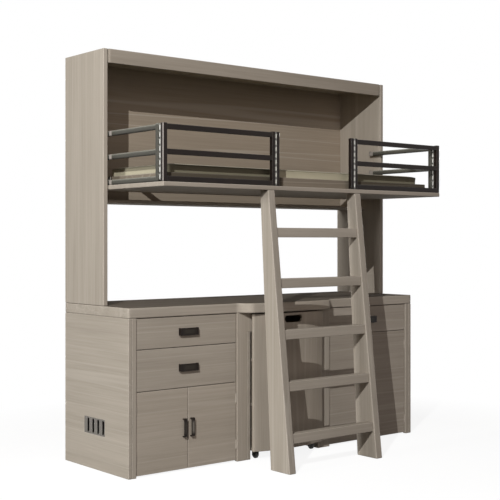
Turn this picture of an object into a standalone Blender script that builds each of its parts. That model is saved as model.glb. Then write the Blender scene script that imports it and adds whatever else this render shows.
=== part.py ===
"""Wall bed: a fold-down bunk in a tower that stands on a two-cabinet desk, with guard rails,
a ladder and a castered kneehole pedestal. Metres, X across, Y towards the wall, Z up.
Depths are measured back from the face of the desk; the origin is on the floor, midway in depth."""

import math

import bmesh
import bpy
from mathutils import Matrix, Vector

# Overall sizes
WIDTH = 2.060
TOTAL_HEIGHT = 2.1685
DESK_HEIGHT = 0.8485
DESK_DEPTH = 0.6240
TOWER_DEPTH = 0.3902
LADDER_REACH = 0.4238

# Fits and edges shared by all the joinery
SEAM = 0.0003
BOARD_EDGE = 0.003
SMALL_EDGE = 0.0015
OVERRUN = 0.010

# Desk top with its bowed middle
TOP_THICKNESS = 0.0523
TOP_EDGE = 0.005
BOW_HALF_WIDTH = 0.345
BOW_FLARE = 0.070
BOW_STEP = 0.050
BOW_CROWN = 0.035
BOW_POINTS = 24

# Tower
TOWER_SIDE = 0.0256
TOWER_TOP = 0.025
FASCIA_HEIGHT = 0.0715
FASCIA_THICKNESS = 0.022
FASCIA_REVEAL = 0.005
FASCIA_PROUD = 0.002
FASCIA_ROUNDING = 0.012
FASCIA_ARC_STEPS = 4
TOWER_BACK = 0.012
TOWER_BACK_RECESS = 0.018
TOWER_SHELF_HEIGHT = 1.3832
TOWER_SHELF = 0.016
TOWER_SHELF_SETBACK = 0.141

# Bed: where it turns, its platform, frame and mattress
PIVOT_SETBACK = 0.0542
FOLDED_SETBACK = 0.0062
PLATFORM_UNDERSIDE = 1.4444
PLATFORM_THICKNESS = 0.0233
PLATFORM_END_GAP = 0.005
PLATFORM_REACH = 0.4905
PLATFORM_TAIL = 0.104
PLATFORM_EDGE = 0.004
FRAME_END_INSET = 0.0658
FRAME_FRONT_INSET = 0.057
FRAME_REAR_INSET = 0.006
FRAME_HEIGHT = 0.049
FRAME_FRONT_BOARD = 0.0335
FRAME_REAR_BOARD = 0.012
FRAME_END_BOARD = 0.0235
MATTRESS_HEIGHT = 0.098
MATTRESS_CLEARANCE = 0.0015
MATTRESS_CORNER = 0.014
MATTRESS_EDGE = 0.012
MATTRESS_CROWN = 0.005
MATTRESS_DRAW = 0.005
MATTRESS_PIPING = 0.003
MATTRESS_CORNER_STEPS = 5
MATTRESS_CROWN_STEPS = 4
MATTRESS_CROWN_SHARE = 0.30

# Steel pins and brackets that the bed turns on
PIN_RADIUS = 0.008
PIN_CLEARANCE = 0.0004
PIN_END_PLAY = 0.006
PIN_CHAMFER = 0.001
PIVOT_PLATE_RADIUS = 0.030
PIVOT_PLATE = 0.003
BRACKET_THICKNESS = 0.005
BRACKET_WIDTH = 0.050
BRACKET_FOOT = 0.036
BRACKET_END_INSET = 0.0284
BRACKET_CROWN = 0.020
ROUND_SIDES = 16

# Guard rails: posts, bars and bead chains
RAIL_HEIGHT = 0.2815
RAIL_SETBACK = 0.001
RAIL_OPENING = 0.524
POST_SIZE = 0.024
SLIM_POST = 0.020
CORNER_GAP = 0.0205
POST_EDGE = 0.003
BAR_HEIGHT = 0.026
BAR_DEPTH = 0.020
BAR_EDGE = 0.0025
BAR_MIDDLE_LEVEL = 0.131
BAR_TOP_DROP = 0.004
RAIL_TAIL_PAST_PIVOT = 0.012
LOW_BAR_SHORT_OF_PIVOT = 0.035
END_PLATE = 0.004
END_PLATE_HEIGHT = 0.030
BEAD_GAP = 0.010
BEAD_BITE = 0.001
BEAD_END = 0.006
BEAD_COUNT = 8
BEAD_SIDES = 8
BEAD_NECK_SHARE = 0.72
BEAD_SHOULDER_SHARE = 0.14

# Ladder
LADDER_WIDTH = 0.6735
LADDER_SHIFT = 0.005
STRINGER_WIDTH = 0.044
STRINGER_FOOT = 0.148
STRINGER_HEAD = 0.066
STRINGER_EDGE = 0.0035
RUNG_COUNT = 5
RUNG_SPACING = 0.2635
RUNG_LOWEST_TOP = 0.196
RUNG_HEIGHT = 0.050
RUNG_DEPTH = 0.050
RUNG_SETBACK = 0.004

# Cabinets
KNEE_WIDTH = 0.498
CABINET_SIDE = 0.022
OUTER_STILE = 0.047
INNER_STILE = 0.0915
STILE_DEPTH = 0.022
CABINET_BOARD = 0.016
CABINET_BACK = 0.006
CABINET_BACK_RECESS = 0.010
BASE_BOARD_HEIGHT = 0.012
HEAD_BLOCK_HEIGHT = 0.106
CLEAT_THICKNESS = 0.0095
CLEAT_LENGTH = 0.450
DIVIDER_LEVEL_LOW = 0.4255
DIVIDER_LEVEL_HIGH = 0.6360
RIGHT_SHELF_LEVEL = 0.320

# Drawer and door fronts
FRONT_THICKNESS = 0.018
FRONT_INSET = 0.008
FRONT_GAP = 0.0035
FRONT_EDGE = 0.0018
DOOR_FOOT = 0.008
BOX_WALL = 0.012
BOX_FLOOR = 0.006
BOX_LENGTH = 0.500
BOX_RAISE = 0.022
BOX_HEIGHT_UPPER = 0.105
BOX_HEIGHT_LOWER = 0.150
LEDGE_SPACE = 0.0135
LEDGE_PLAY = 0.0005
LEDGE_LIP = 0.010
LEDGE_THICKNESS = 0.010
LEDGE_GUIDE = 0.030
LEDGE_LENGTH = 0.500
LEDGE_ROOT = 0.003

# Strap pulls
DRAWER_PULL_LENGTH = 0.116
DRAWER_PULL_WIDTH = 0.038
DOOR_PULL_LENGTH = 0.094
DOOR_PULL_WIDTH = 0.021
DOOR_PULL_HEIGHT = 0.220
DOOR_PULL_INSET = 0.022
PULL_STANDOFF = 0.018
PULL_THICKNESS = 0.004
PULL_EDGE = 0.001

# Butt hinges of the doors
HINGE_KNUCKLE = 0.0022
HINGE_REACH = 0.0025
HINGE_LEAF = 0.001
HINGE_LEAF_DEPTH = 0.012
HINGE_LENGTH = 0.050
HINGE_END = 0.060
HINGE_FACE_GAP = 0.0004
HINGE_SIDES = 8

# Louvred vent in the left cabinet's side
VENT_LENGTH = 0.202
VENT_HEIGHT = 0.086
VENT_DEPTH_CENTRE = 0.322
VENT_HEIGHT_CENTRE = 0.223
VENT_BORDER = 0.007
VENT_RECESS = 0.0005
VENT_BLADES = 4
VENT_BLADE = 0.0025
VENT_SLOT_SHARE = 0.42
VENT_FIT = 0.0005

# Kneehole pedestal on casters
PEDESTAL_GAP = 0.014
PEDESTAL_LAP = 0.0067
PEDESTAL_BOTTOM = 0.0445
PEDESTAL_TOP = 0.787
PEDESTAL_FRONT_LEAD = 0.0325
PEDESTAL_BOW = 0.041
PEDESTAL_PANEL = 0.018
PEDESTAL_BOARD = 0.016
PEDESTAL_DEPTH = 0.520
PEDESTAL_EDGE = 0.005
PEDESTAL_SHELF_COUNT = 2
PEDESTAL_BOW_POINTS = 12
HAND_HOLE_WIDTH = 0.130
HAND_HOLE_HEIGHT = 0.042
HAND_HOLE_LEVEL = 0.755
HAND_HOLE_STEPS = 6
WHEEL_RADIUS = 0.021
WHEEL_WIDTH = 0.018
WHEEL_SHOULDER = 0.004
WHEEL_PLAY = 0.001
AXLE_RADIUS = 0.003
AXLE_CLEARANCE = 0.0003
FORK_THICKNESS = 0.002
FORK_LENGTH = 0.030
FORK_HEADROOM = 0.003
FORK_ROOT = 0.004
WHEEL_SIDES = 24
CASTER_SIDE_INSET = 0.030
CASTER_FRONT_DEPTH = 0.012
CASTER_REAR_INSET = 0.040

# Finishes: base colour, roughness, metallic
FINISHES = {
    "laminate": ((0.40, 0.355, 0.29), 0.45, 0.0),
    "laminate_inside": ((0.33, 0.29, 0.24), 0.55, 0.0),
    "bronze": ((0.045, 0.038, 0.032), 0.38, 0.75),
    "steel": ((0.42, 0.42, 0.41), 0.35, 1.0),
    "ticking": ((0.46, 0.43, 0.32), 0.90, 0.0),
    "vent_grey": ((0.16, 0.155, 0.145), 0.50, 0.2),
    "black_plastic": ((0.02, 0.02, 0.02), 0.45, 0.0),
}

# Places worked out from the sizes above
HALF_WIDTH = WIDTH / 2
DESK_FACE = (LADDER_REACH - DESK_DEPTH) / 2
DESK_UNDERSIDE = DESK_HEIGHT - TOP_THICKNESS
CABINET_TOP = DESK_UNDERSIDE - SEAM
TOWER_FRONT = DESK_DEPTH - TOWER_DEPTH
TOWER_INNER = HALF_WIDTH - TOWER_SIDE
PLATFORM_TOP = PLATFORM_UNDERSIDE + PLATFORM_THICKNESS
PLATFORM_END = TOWER_INNER - PLATFORM_END_GAP
PLATFORM_FRONT = TOWER_FRONT - PLATFORM_REACH
PIVOT_DEPTH = TOWER_FRONT + PIVOT_SETBACK
PIVOT_HEIGHT = PLATFORM_UNDERSIDE + PIVOT_SETBACK - FOLDED_SETBACK
PLATFORM_REAR = PIVOT_DEPTH + PLATFORM_TAIL
KNEE_HALF = KNEE_WIDTH / 2
OPENING_INNER = KNEE_HALF + INNER_STILE
OPENING_OUTER = HALF_WIDTH - OUTER_STILE
FRONT_BACK_FACE = FRONT_INSET + FRONT_THICKNESS
CABINET_BACK_FACE = DESK_DEPTH - CABINET_BACK_RECESS - CABINET_BACK
FRAME_END = PLATFORM_END - FRAME_END_INSET
MATTRESS_END = FRAME_END - FRAME_END_BOARD - MATTRESS_CLEARANCE
PEDESTAL_HALF = KNEE_HALF - PEDESTAL_GAP
PEDESTAL_FRONT_HALF = KNEE_HALF + PEDESTAL_LAP
PEDESTAL_REAR = PEDESTAL_DEPTH - PEDESTAL_FRONT_LEAD


def clear_scene():
    for item in list(bpy.data.objects):
        bpy.data.objects.remove(item, do_unlink=True)


def finish_material(name):
    material = bpy.data.materials.get(name)
    if material is None:
        colour, roughness, metallic = FINISHES[name]
        material = bpy.data.materials.new(name)
        material.use_nodes = True
        shader = material.node_tree.nodes["Principled BSDF"]
        shader.inputs["Base Color"].default_value = (*colour, 1.0)
        shader.inputs["Roughness"].default_value = roughness
        shader.inputs["Metallic"].default_value = metallic
        material.diffuse_color = (*colour, 1.0)
    return material


def joint_empty(name, x, depth, z):
    """An empty on a joint's axis, which carries the pieces that move with it."""
    empty = bpy.data.objects.new(name, None)
    empty.location = (x, DESK_FACE + depth, z)
    bpy.context.scene.collection.objects.link(empty)
    return empty


def middle(pair):
    return (pair[0] + pair[1]) / 2


def mirrored(side, near, far):
    """The X limits of something between two distances from the centre, left (-1) or right (1)."""
    return (near, far) if side > 0 else (-far, -near)


def add_block(bm, x, depth, z):
    """Adds a box between pairs of limits; depth is measured back from the desk's face."""
    centre = Vector((middle(x), DESK_FACE + middle(depth), middle(z)))
    size = Vector((x[1] - x[0], depth[1] - depth[0], z[1] - z[0]))
    matrix = Matrix.Translation(centre) @ Matrix.Diagonal((*size, 1))
    return bmesh.ops.create_cube(bm, size=1, matrix=matrix)["verts"]


def add_prism(bm, outline, axis, low, high):
    """Extrudes an outline along an axis: (y, z) along x, (x, z) along y, (x, y) along z."""
    lift = {"x": Vector((1, 0, 0)), "y": Vector((0, 1, 0)), "z": Vector((0, 0, 1))}[axis]
    verts = []
    for a, b in outline:
        spot = {"x": (low, a, b), "y": (a, low, b), "z": (a, b, low)}[axis]
        verts.append(bm.verts.new(spot))
    face = bm.faces.new(verts)
    grown = bmesh.ops.extrude_face_region(bm, geom=[face])["geom"]
    moved = [item for item in grown if isinstance(item, bmesh.types.BMVert)]
    bmesh.ops.translate(bm, verts=moved, vec=lift * (high - low))


def turned_ring(bm, centre, axis, along, radius, sides):
    """One circle of a turned piece, at a distance along its axis (x or z) from its centre."""
    ring = []
    for k in range(sides):
        turn = 2 * math.pi * k / sides
        across = radius * math.cos(turn)
        over = radius * math.sin(turn)
        offset = (along, across, over) if axis == "x" else (across, over, along)
        ring.append(bm.verts.new(centre + Vector(offset)))
    return ring


def add_turned(bm, profile, centre, sides, axis="x", bored=False):
    """Turns a profile of (distance along the axis, radius): solid with flat ends, or bored right through."""
    rings = [turned_ring(bm, centre, axis, along, radius, sides) for along, radius in profile]
    if bored:
        rings.append(rings[0])
    else:
        bm.faces.new(rings[0])
        bm.faces.new(rings[-1])
    for here, there in zip(rings, rings[1:]):
        for k in range(sides):
            n = (k + 1) % sides
            bm.faces.new((here[k], here[n], there[n], there[k]))


def make_part(name, bm, finish, carrier=None, edge=0.0, segments=1, smooth=False):
    """Turns a mesh into a named object at its own centre, on its carrier, with eased edges."""
    bmesh.ops.recalc_face_normals(bm, faces=bm.faces)
    low = Vector(min(v.co[i] for v in bm.verts) for i in range(3))
    high = Vector(max(v.co[i] for v in bm.verts) for i in range(3))
    centre = (low + high) / 2
    bmesh.ops.translate(bm, verts=bm.verts, vec=-centre)
    mesh = bpy.data.meshes.new(name)
    bm.to_mesh(mesh)
    bm.free()
    mesh.materials.append(finish_material(finish))
    item = bpy.data.objects.new(name, mesh)
    item.location = centre
    if carrier:
        item.parent = carrier
        item.location = centre - carrier.location
    bpy.context.scene.collection.objects.link(item)
    if smooth:
        mesh.shade_smooth()
        mesh.set_sharp_from_angle(angle=math.radians(35))
    if edge:
        bevel = item.modifiers.new("eased edges", "BEVEL")
        bevel.width = edge
        bevel.segments = segments
        bevel.limit_method = "ANGLE"
        bevel.angle_limit = math.radians(40)
    return item


def helper_object(name, bm, edge=0.0):
    """A mesh that only cuts or joins: kept out of renders and shown as wire."""
    bmesh.ops.recalc_face_normals(bm, faces=bm.faces)
    mesh = bpy.data.meshes.new(name)
    bm.to_mesh(mesh)
    bm.free()
    helper = bpy.data.objects.new(name, mesh)
    helper.hide_render = True
    helper.display_type = "WIRE"
    bpy.context.scene.collection.objects.link(helper)
    if edge:
        bevel = helper.modifiers.new("eased edges", "BEVEL")
        bevel.width = edge
        bevel.segments = 1
        bevel.limit_method = "ANGLE"
        bevel.angle_limit = math.radians(40)
    return helper


def cut_away(item, bm, name, ahead_of_bevel=False):
    """Cuts a shape out of a part."""
    cut = item.modifiers.new("cut " + name, "BOOLEAN")
    cut.operation = "DIFFERENCE"
    cut.object = helper_object(name, bm)
    if ahead_of_bevel:
        item.modifiers.move(len(item.modifiers) - 1, 0)


def weld_on(item, bm, name, edge=0.0):
    """Joins shapes to a part that they overlap."""
    join = item.modifiers.new("join " + name, "BOOLEAN")
    join.operation = "UNION"
    join.object = helper_object(name, bm, edge)


def add_blocks(name, finish, blocks, carrier=None, edge=0.0, segments=1):
    bm = bmesh.new()
    for x, depth, z in blocks:
        add_block(bm, x, depth, z)
    return make_part(name, bm, finish, carrier, edge, segments)


def bow_lead(x):
    """How far the desk top's edge stands in front of the desk's face at a distance x from the middle."""
    reach = abs(x) / BOW_HALF_WIDTH
    if reach >= 1:
        return 0.0
    rise = min(1.0, (BOW_HALF_WIDTH - abs(x)) / BOW_FLARE)
    eased = (1 - math.cos(math.pi * rise)) / 2
    return BOW_STEP * eased + BOW_CROWN * (1 - reach ** 2)


def build_desk_top():
    outline = [(HALF_WIDTH, DESK_FACE + DESK_DEPTH), (-HALF_WIDTH, DESK_FACE + DESK_DEPTH),
               (-HALF_WIDTH, DESK_FACE)]
    flare_points = BOW_POINTS // 3
    crown_points = BOW_POINTS - 2 * flare_points
    crown_edge = BOW_HALF_WIDTH - BOW_FLARE
    stations = [-BOW_HALF_WIDTH + BOW_FLARE * k / flare_points for k in range(flare_points)]
    stations += [-crown_edge + 2 * crown_edge * k / crown_points for k in range(crown_points + 1)]
    stations += [BOW_HALF_WIDTH - BOW_FLARE * k / flare_points for k in range(flare_points)][::-1]
    outline += [(x, DESK_FACE - bow_lead(x)) for x in stations]
    outline.append((HALF_WIDTH, DESK_FACE))
    bm = bmesh.new()
    add_prism(bm, outline, "z", DESK_UNDERSIDE, DESK_HEIGHT)
    make_part("desk_top", bm, "laminate", edge=TOP_EDGE, segments=2)


def build_tower():
    foot = DESK_HEIGHT + SEAM
    for side, label in ((-1, "left"), (1, "right")):
        add_blocks("tower_side_" + label, "laminate",
                   [(mirrored(side, TOWER_INNER, HALF_WIDTH), (TOWER_FRONT, DESK_DEPTH),
                     (foot, TOTAL_HEIGHT))], edge=BOARD_EDGE, segments=2)
    inside = (-TOWER_INNER + SEAM, TOWER_INNER - SEAM)
    back_face = DESK_DEPTH - TOWER_BACK_RECESS - TOWER_BACK
    fascia_front = TOWER_FRONT - FASCIA_PROUD
    fascia_back = fascia_front + FASCIA_THICKNESS
    top_underside = TOTAL_HEIGHT - TOWER_TOP
    add_blocks("tower_top", "laminate",
               [(inside, (fascia_back + SEAM, DESK_DEPTH), (top_underside, TOTAL_HEIGHT))])
    add_blocks("tower_back", "laminate",
               [(inside, (back_face, back_face + TOWER_BACK), (TOWER_SHELF_HEIGHT, top_underside - SEAM))])
    add_blocks("tower_bottom_shelf", "laminate",
               [(inside, (TOWER_FRONT + TOWER_SHELF_SETBACK, back_face - SEAM),
                 (TOWER_SHELF_HEIGHT, TOWER_SHELF_HEIGHT + TOWER_SHELF))], edge=SMALL_EDGE)
    reach = TOWER_INNER - FASCIA_REVEAL
    outline = [(reach, DESK_FACE + fascia_back), (-reach, DESK_FACE + fascia_back)]
    for side in (-1, 1):
        arc = []
        for k in range(FASCIA_ARC_STEPS + 1):
            turn = math.pi / 2 * k / FASCIA_ARC_STEPS
            arc.append((side * (reach - FASCIA_ROUNDING * (1 - math.cos(turn))),
                        DESK_FACE + fascia_front + FASCIA_ROUNDING * (1 - math.sin(turn))))
        outline += arc if side < 0 else arc[::-1]
    bm = bmesh.new()
    add_prism(bm, outline, "z", TOTAL_HEIGHT - FASCIA_HEIGHT, TOTAL_HEIGHT)
    make_part("tower_fascia", bm, "laminate", edge=SMALL_EDGE, smooth=True)


def build_pivot_pins():
    """Flanged pins on the tower's sides, which the bed's brackets turn on."""
    for side, label in ((-1, "left"), (1, "right")):
        wall = TOWER_INNER - SEAM
        collar = wall - PIVOT_PLATE
        tip = PLATFORM_END - BRACKET_END_INSET - BRACKET_THICKNESS - PIN_END_PLAY
        profile = [(side * wall, PIVOT_PLATE_RADIUS), (side * collar, PIVOT_PLATE_RADIUS),
                   (side * collar, PIN_RADIUS), (side * (tip + PIN_CHAMFER), PIN_RADIUS),
                   (side * tip, PIN_RADIUS - PIN_CHAMFER)]
        bm = bmesh.new()
        add_turned(bm, profile, Vector((0, DESK_FACE + PIVOT_DEPTH, PIVOT_HEIGHT)), ROUND_SIDES)
        make_part(label + "_pivot_pin", bm, "steel", smooth=True)


def build_cabinet(side, label, levels, drawer_feet):
    """Side boards with their drawer ledges, front stiles, and the glued-up boards inside."""
    outer_wall = HALF_WIDTH - CABINET_SIDE
    inner_wall = KNEE_HALF + CABINET_SIDE
    depth = (0.0, DESK_DEPTH)
    outer = add_blocks(label + "_cabinet_outer_side", "laminate",
                       [(mirrored(side, outer_wall, HALF_WIDTH), depth, (0.0, CABINET_TOP))],
                       edge=BOARD_EDGE, segments=2)
    inner = add_blocks(label + "_cabinet_inner_side", "laminate",
                       [(mirrored(side, KNEE_HALF, inner_wall), depth, (0.0, CABINET_TOP))], edge=SMALL_EDGE)
    add_ledges(outer, side, outer_wall, OPENING_OUTER - LEDGE_SPACE, drawer_feet, label + "_outer_ledges")
    add_ledges(inner, side, inner_wall, OPENING_INNER + LEDGE_SPACE, drawer_feet, label + "_inner_ledges")

    block_foot = CABINET_TOP - HEAD_BLOCK_HEIGHT
    notch = bmesh.new()
    add_block(notch, mirrored(side, KNEE_HALF - OVERRUN, inner_wall + OVERRUN),
              (-OVERRUN, STILE_DEPTH + SEAM), (block_foot - SEAM, CABINET_TOP + OVERRUN))
    cut_away(inner, notch, label + "_block_notch")

    stile = (0.0, STILE_DEPTH)
    add_blocks(label + "_outer_stile", "laminate",
               [(mirrored(side, OPENING_OUTER, outer_wall - SEAM), stile, (0.0, CABINET_TOP))], edge=SMALL_EDGE)
    build_inner_stile(side, label, block_foot)

    back_rear = DESK_FACE + CABINET_BACK_FACE + CABINET_BACK
    back_face = DESK_FACE + CABINET_BACK_FACE
    shelf_front = DESK_FACE + FRONT_BACK_FACE + FRONT_GAP
    outline = [(back_rear, CABINET_TOP), (back_face, CABINET_TOP)]
    for level in sorted(levels, reverse=True):
        under = level - CABINET_BOARD / 2
        outline += [(back_face, under + CABINET_BOARD), (shelf_front, under + CABINET_BOARD),
                    (shelf_front, under), (back_face, under)]
    outline += [(back_face, BASE_BOARD_HEIGHT + CABINET_BOARD), (shelf_front, BASE_BOARD_HEIGHT + CABINET_BOARD),
                (shelf_front, BASE_BOARD_HEIGHT), (back_rear, BASE_BOARD_HEIGHT)]
    bm = bmesh.new()
    add_prism(bm, outline, "x", *mirrored(side, inner_wall + SEAM, outer_wall - SEAM))
    make_part(label + "_cabinet_inside", bm, "laminate_inside")
    return outer


def add_ledges(board, side, wall, box, feet, name):
    """Stepped ledges on a side board: a lip under each drawer box, and a guide beside it."""
    bm = bmesh.new()
    inward = 1 if box > wall else -1
    root = wall - inward * LEDGE_ROOT
    guide = box - inward * LEDGE_PLAY
    lip = box + inward * LEDGE_LIP
    start = DESK_FACE + FRONT_BACK_FACE + FRONT_GAP
    for foot in feet:
        shelf = foot + BOX_RAISE - SEAM
        outline = [(root, shelf - LEDGE_THICKNESS), (lip, shelf - LEDGE_THICKNESS), (lip, shelf), (guide, shelf),
                   (guide, shelf + LEDGE_GUIDE), (root, shelf + LEDGE_GUIDE)]
        add_prism(bm, [(side * x, z) for x, z in outline], "y", start, start + LEDGE_LENGTH)
    weld_on(board, bm, name)


def build_inner_stile(side, label, block_foot):
    """The stile beside the kneehole, with its head block and the cleat along the kneehole's wall."""
    cleat_face = KNEE_HALF - SEAM - CLEAT_THICKNESS
    item = add_blocks(label + "_inner_stile", "laminate",
                      [(mirrored(side, cleat_face, OPENING_INNER), (0.0, STILE_DEPTH), (block_foot, CABINET_TOP))],
                      edge=SMALL_EDGE)
    lower = bmesh.new()
    add_block(lower, mirrored(side, KNEE_HALF + CABINET_SIDE + SEAM, OPENING_INNER), (0.0, STILE_DEPTH),
              (0.0, block_foot + 2 * SMALL_EDGE))
    weld_on(item, lower, label + "_stile_foot", SMALL_EDGE)
    cleat = bmesh.new()
    add_block(cleat, mirrored(side, cleat_face, KNEE_HALF - SEAM), (STILE_DEPTH - 2 * SMALL_EDGE, CLEAT_LENGTH),
              (block_foot, CABINET_TOP))
    weld_on(item, cleat, label + "_kneehole_cleat", SMALL_EDGE)


def build_vent(outer_side):
    """A framed grille of slanted blades, let into a window in the cabinet's side."""
    low_y = VENT_DEPTH_CENTRE - VENT_LENGTH / 2
    high_y = VENT_DEPTH_CENTRE + VENT_LENGTH / 2
    low_z = VENT_HEIGHT_CENTRE - VENT_HEIGHT / 2
    high_z = VENT_HEIGHT_CENTRE + VENT_HEIGHT / 2
    outside = -HALF_WIDTH + VENT_RECESS
    inside = -HALF_WIDTH + CABINET_SIDE
    window = bmesh.new()
    add_block(window, (outside - OVERRUN, inside + OVERRUN), (low_y - VENT_FIT, high_y + VENT_FIT),
              (low_z - VENT_FIT, high_z + VENT_FIT))
    cut_away(outer_side, window, "vent_window")

    frame = add_blocks("vent_grille", "vent_grey", [((outside, inside), (low_y, high_y), (low_z, high_z))])
    pitch = (VENT_LENGTH - VENT_BORDER) / VENT_BLADES
    slot = pitch - VENT_BORDER
    slots = bmesh.new()
    for k in range(VENT_BLADES):
        front = DESK_FACE + low_y + VENT_BORDER + pitch * k
        lip = front + slot * VENT_SLOT_SHARE
        rear = front + slot
        # The slot is behind a blade that slants in from its lip on the face to the frame's back
        outline = [(outside - OVERRUN, front), (outside - OVERRUN, lip), (outside, lip),
                   (inside - VENT_BLADE, rear), (inside + OVERRUN, rear), (inside + OVERRUN, front)]
        add_prism(slots, [(x, y) for x, y in outline], "z", low_z + VENT_BORDER, high_z - VENT_BORDER)
    cut_away(frame, slots, "vent_slots")


def add_pull(bm, x, z, length, width, along):
    """A flat strap bent into a bridge, lying along x or along z on a front."""
    face = DESK_FACE + FRONT_INSET - SEAM
    crest = face - PULL_STANDOFF
    under = crest + PULL_THICKNESS
    half = length / 2
    foot = half - PULL_THICKNESS
    bridge = [(-half, face), (-half, crest), (half, crest), (half, face), (foot, face), (foot, under),
              (-foot, under), (-foot, face)]
    if along == "x":
        add_prism(bm, [(x + a, depth) for a, depth in bridge], "z", z - width / 2, z + width / 2)
    else:
        add_prism(bm, [(depth, z + a) for a, depth in bridge], "x", x - width / 2, x + width / 2)


def build_drawer(side, label, low, high, box_height):
    """A drawer: inset front, open box and strap pull."""
    carrier = joint_empty(label + "_slide", side * (OPENING_INNER + OPENING_OUTER) / 2,
                          FRONT_INSET, (low + high) / 2)
    front_x = mirrored(side, OPENING_INNER + FRONT_GAP, OPENING_OUTER - FRONT_GAP)
    add_blocks(label + "_front", "laminate",
               [(front_x, (FRONT_INSET, FRONT_BACK_FACE), (low, high))], carrier, FRONT_EDGE, 2)
    box_x = mirrored(side, OPENING_INNER + LEDGE_SPACE, OPENING_OUTER - LEDGE_SPACE)
    box_y = (FRONT_BACK_FACE + SEAM, FRONT_BACK_FACE + SEAM + BOX_LENGTH)
    box_z = (low + BOX_RAISE, low + BOX_RAISE + box_height)
    bm = bmesh.new()
    add_block(bm, box_x, box_y, box_z)
    mouth = max(bm.faces, key=lambda face: face.calc_center_median().z)
    bmesh.ops.inset_region(bm, faces=[mouth], thickness=BOX_WALL)
    grown = bmesh.ops.extrude_discrete_faces(bm, faces=[mouth])["faces"]
    bmesh.ops.translate(bm, verts=grown[0].verts, vec=Vector((0, 0, BOX_FLOOR - box_height)))
    make_part(label + "_box", bm, "laminate_inside", carrier)
    pull = bmesh.new()
    add_pull(pull, middle(front_x), (low + high) / 2, DRAWER_PULL_LENGTH, DRAWER_PULL_WIDTH, "x")
    make_part(label + "_handle", pull, "bronze", carrier, PULL_EDGE, 2)


def build_door(side, label, x_near, x_far, hinge_at_far, low, high):
    """One inset door between two distances from the centre, with the knuckles of its butt hinges."""
    hinge_edge = side * (x_far if hinge_at_far else x_near)
    free_edge = side * (x_near if hinge_at_far else x_far)
    inward = math.copysign(1, free_edge - hinge_edge)
    pin_x = hinge_edge + inward * (HINGE_REACH - FRONT_GAP)
    pin_depth = FRONT_INSET - HINGE_FACE_GAP - HINGE_KNUCKLE
    carrier = joint_empty(label + "_hinge_line", pin_x, pin_depth, (low + high) / 2)
    door = add_blocks(label, "laminate",
                      [(mirrored(side, x_near, x_far), (FRONT_INSET, FRONT_BACK_FACE), (low, high))],
                      carrier, FRONT_EDGE, 2)
    outline = []
    for k in range(HINGE_SIDES):
        turn = 2 * math.pi * (k + 1 / 2) / HINGE_SIDES
        outline.append((HINGE_KNUCKLE * math.cos(turn), HINGE_KNUCKLE * math.sin(turn)))
    outline.sort(key=lambda point: math.atan2(point[1], point[0]) % (2 * math.pi))
    # The leaf runs from the knuckle's inner side, back into the door's edge
    leaf_reach = FRONT_GAP - HINGE_REACH + HINGE_LEAF
    shape = [point for point in outline if not (point[0] > 0 and point[1] > 0)]
    shape += [(leaf_reach + HINGE_LEAF, min(point[1] for point in outline if point[0] > 0) / 2),
              (leaf_reach + HINGE_LEAF, HINGE_KNUCKLE + HINGE_LEAF_DEPTH),
              (0.0, HINGE_KNUCKLE + HINGE_LEAF_DEPTH)]
    shape.sort(key=lambda point: math.atan2(point[1], point[0] - HINGE_LEAF / 2))
    placed = [(pin_x + inward * across, DESK_FACE + pin_depth + along) for across, along in shape]
    knuckles = bmesh.new()
    for foot in (low + HINGE_END, high - HINGE_END - HINGE_LENGTH):
        add_prism(knuckles, placed, "z", foot, foot + HINGE_LENGTH)
    weld_on(door, knuckles, label + "_knuckles")
    pull = bmesh.new()
    add_pull(pull, free_edge - inward * DOOR_PULL_INSET, DOOR_PULL_HEIGHT,
             DOOR_PULL_LENGTH, DOOR_PULL_WIDTH, "z")
    make_part(label + "_handle", pull, "bronze", carrier, PULL_EDGE, 2)


def build_storage():
    top = CABINET_TOP - FRONT_GAP
    above_high = DIVIDER_LEVEL_HIGH + FRONT_GAP / 2
    below_high = DIVIDER_LEVEL_HIGH - FRONT_GAP / 2
    above_low = DIVIDER_LEVEL_LOW + FRONT_GAP / 2
    below_low = DIVIDER_LEVEL_LOW - FRONT_GAP / 2
    left_side = build_cabinet(-1, "left", [DIVIDER_LEVEL_LOW], [above_high, above_low])
    build_cabinet(1, "right", [RIGHT_SHELF_LEVEL, DIVIDER_LEVEL_HIGH], [above_high])
    build_vent(left_side)
    build_drawer(-1, "left_upper_drawer", above_high, top, BOX_HEIGHT_UPPER)
    build_drawer(-1, "left_lower_drawer", above_low, below_high, BOX_HEIGHT_LOWER)
    build_drawer(1, "right_drawer", above_high, top, BOX_HEIGHT_UPPER)
    split = (OPENING_INNER + OPENING_OUTER) / 2
    near = (OPENING_INNER + FRONT_GAP, split - FRONT_GAP / 2)
    far = (split + FRONT_GAP / 2, OPENING_OUTER - FRONT_GAP)
    for side, label, door_top in ((-1, "left", below_low), (1, "right", below_high)):
        build_door(side, label + "_outer_door", *far, True, DOOR_FOOT, door_top)
        build_door(side, label + "_inner_door", *near, False, DOOR_FOOT, door_top)


def rounded_ring(half_x, half_y, radius, steps):
    """Points of a rectangle with round corners, anticlockwise round its centre."""
    ring = []
    for corner in range(4):
        turn = math.pi / 2 * corner
        out_x = math.copysign(half_x - radius, math.cos(turn + math.pi / 4))
        out_y = math.copysign(half_y - radius, math.sin(turn + math.pi / 4))
        for k in range(steps + 1):
            angle = turn + math.pi / 2 * k / steps
            ring.append((out_x + radius * math.cos(angle), out_y + radius * math.sin(angle)))
    return ring


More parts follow.
